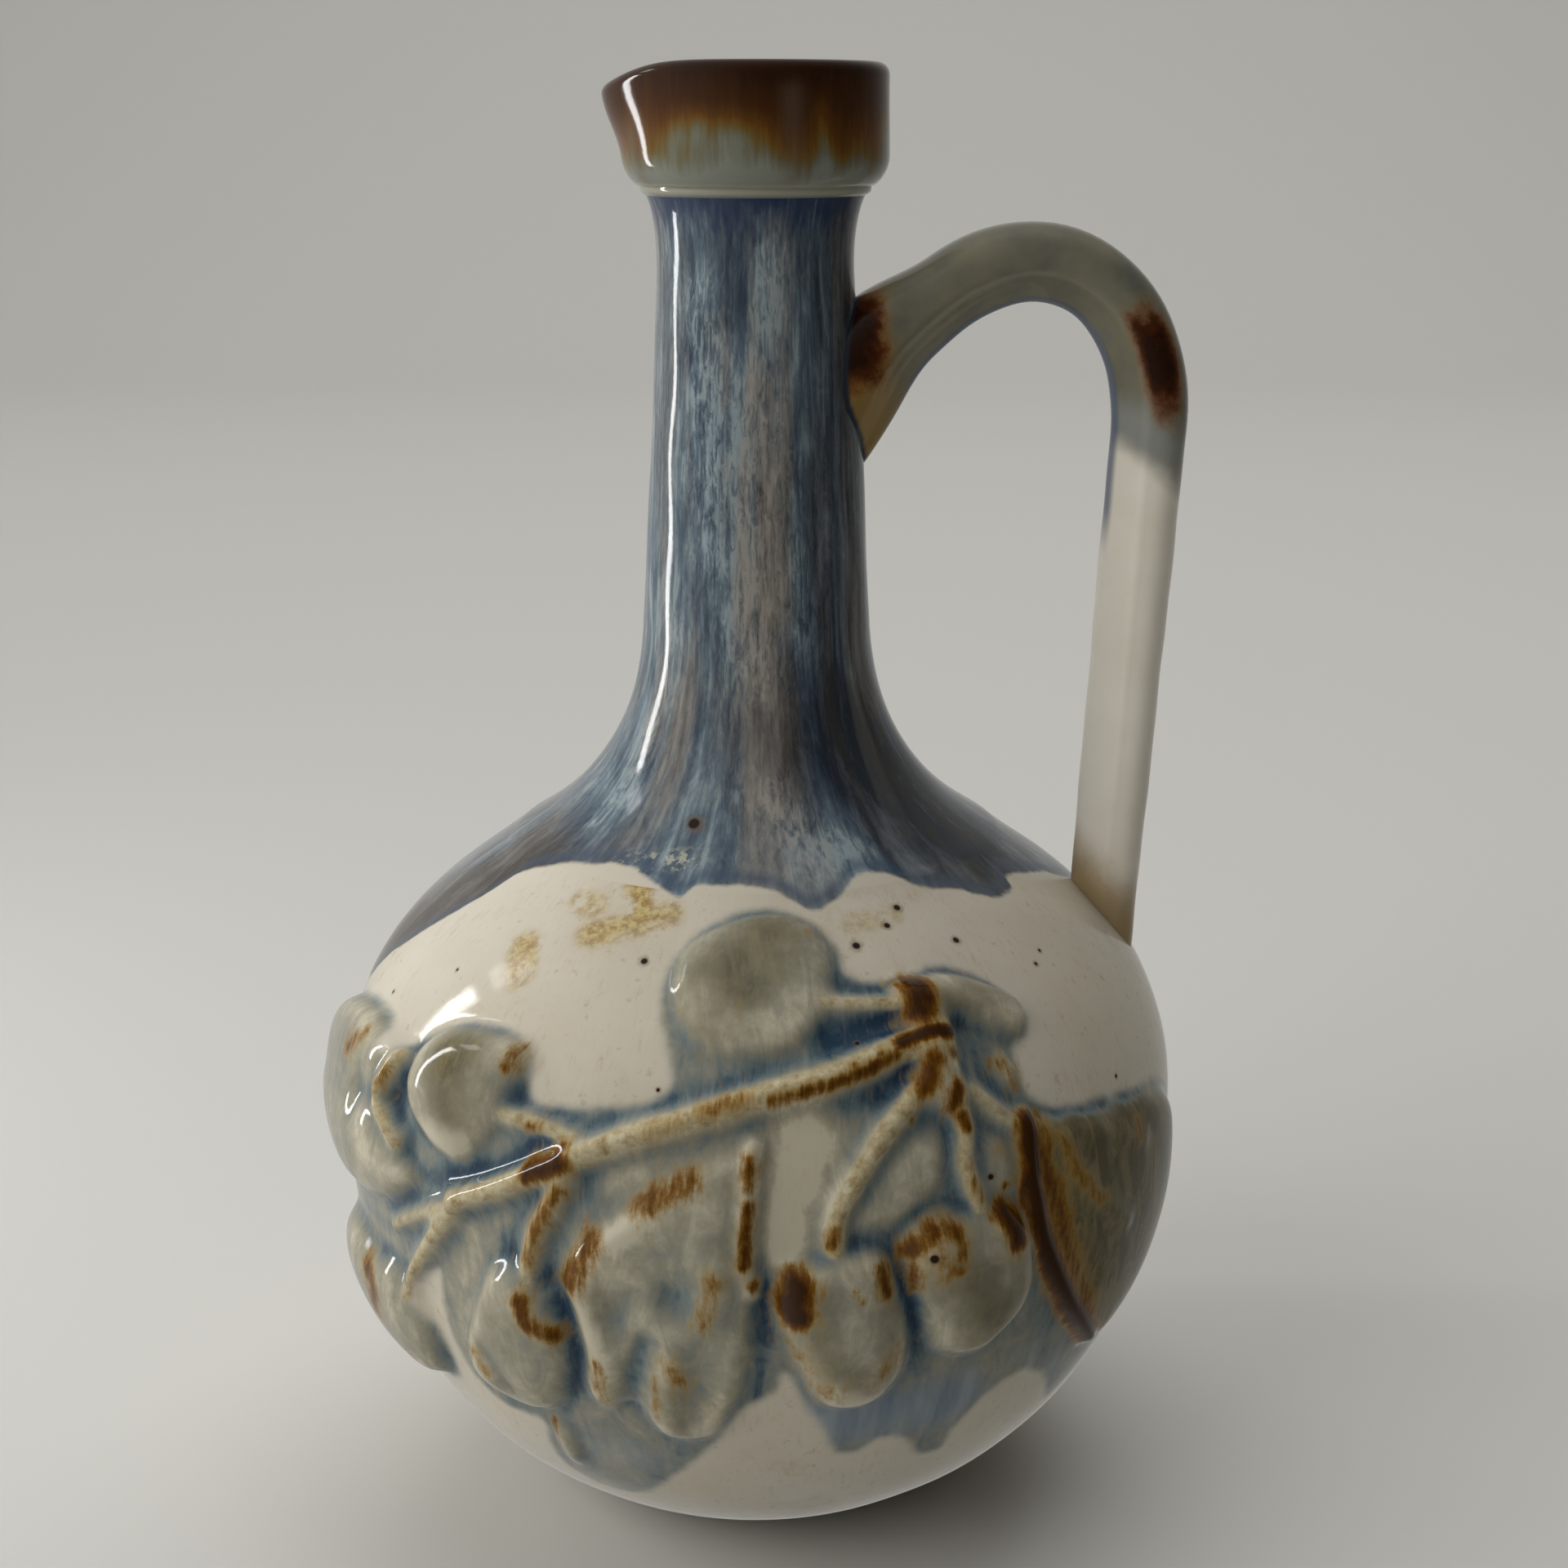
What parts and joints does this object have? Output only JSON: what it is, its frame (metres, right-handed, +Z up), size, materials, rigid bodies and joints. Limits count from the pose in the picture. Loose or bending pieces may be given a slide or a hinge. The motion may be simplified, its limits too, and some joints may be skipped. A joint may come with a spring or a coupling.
{
  "type": "earthenware carafe",
  "caption": "Round-bellied glazed earthenware carafe with a slim neck, a collar with a pouring lip, an arched strap handle and a fruiting branch in relief.",
  "frame": {"origin": "middle of the flat base, on the axis of the belly and neck", "axes": "+Z up along the axis of the belly and neck, -X towards the pouring lip, +X towards the handle, -Y towards the relief"},
  "size_m": [0.1685, 0.1696, 0.28],
  "materials": {
    "cream_glaze": "gloss cream glaze with specks and pinholes",
    "slate_glaze": "gloss streaked slate-blue running glaze",
    "umber_glaze": "gloss dark brown glaze breaking to amber and grey-green",
    "olive_glaze": "gloss grey-green glaze over cream, with amber patches",
    "sage_glaze": "gloss translucent grey-green glaze, blue where it pools",
    "ochre_glaze": "gloss cream and ochre glaze, brown on the crests"
  },
  "bodies": {
    "root": {"body": "cream_glaze", "neck": "slate_glaze", "collar": "umber_glaze", "handle": "olive_glaze", "branch_knot": "ochre_glaze", "fruit_upper": "sage_glaze", "fruit_left_upper": "sage_glaze", "fruit_left_edge": "sage_glaze", "fruit_left_lower": "sage_glaze", "fruit_far_left": "sage_glaze", "fruit_middle": "sage_glaze", "fruit_right": "sage_glaze", "branch_stub": "ochre_glaze", "main_branch": "ochre_glaze", "leaf_right_rib": "ochre_glaze", "leaf_centre_rib": "ochre_glaze", "twig_upper": "ochre_glaze", "twig_left_upper": "ochre_glaze", "twig_left_lower": "ochre_glaze", "twig_fork": "ochre_glaze", "twig_left_edge": "ochre_glaze", "stem_left_edge": "ochre_glaze", "twig_middle": "ochre_glaze", "twig_right": "ochre_glaze", "twig_leaf": "ochre_glaze", "leaf_centre": "sage_glaze", "leaf_right": "sage_glaze", "leaf_left_edge": "sage_glaze", "leaf_between": "sage_glaze", "leaf_small": "sage_glaze", "leaf_tip": "sage_glaze", "bud_right": "sage_glaze"}
  },
  "joints": []
}
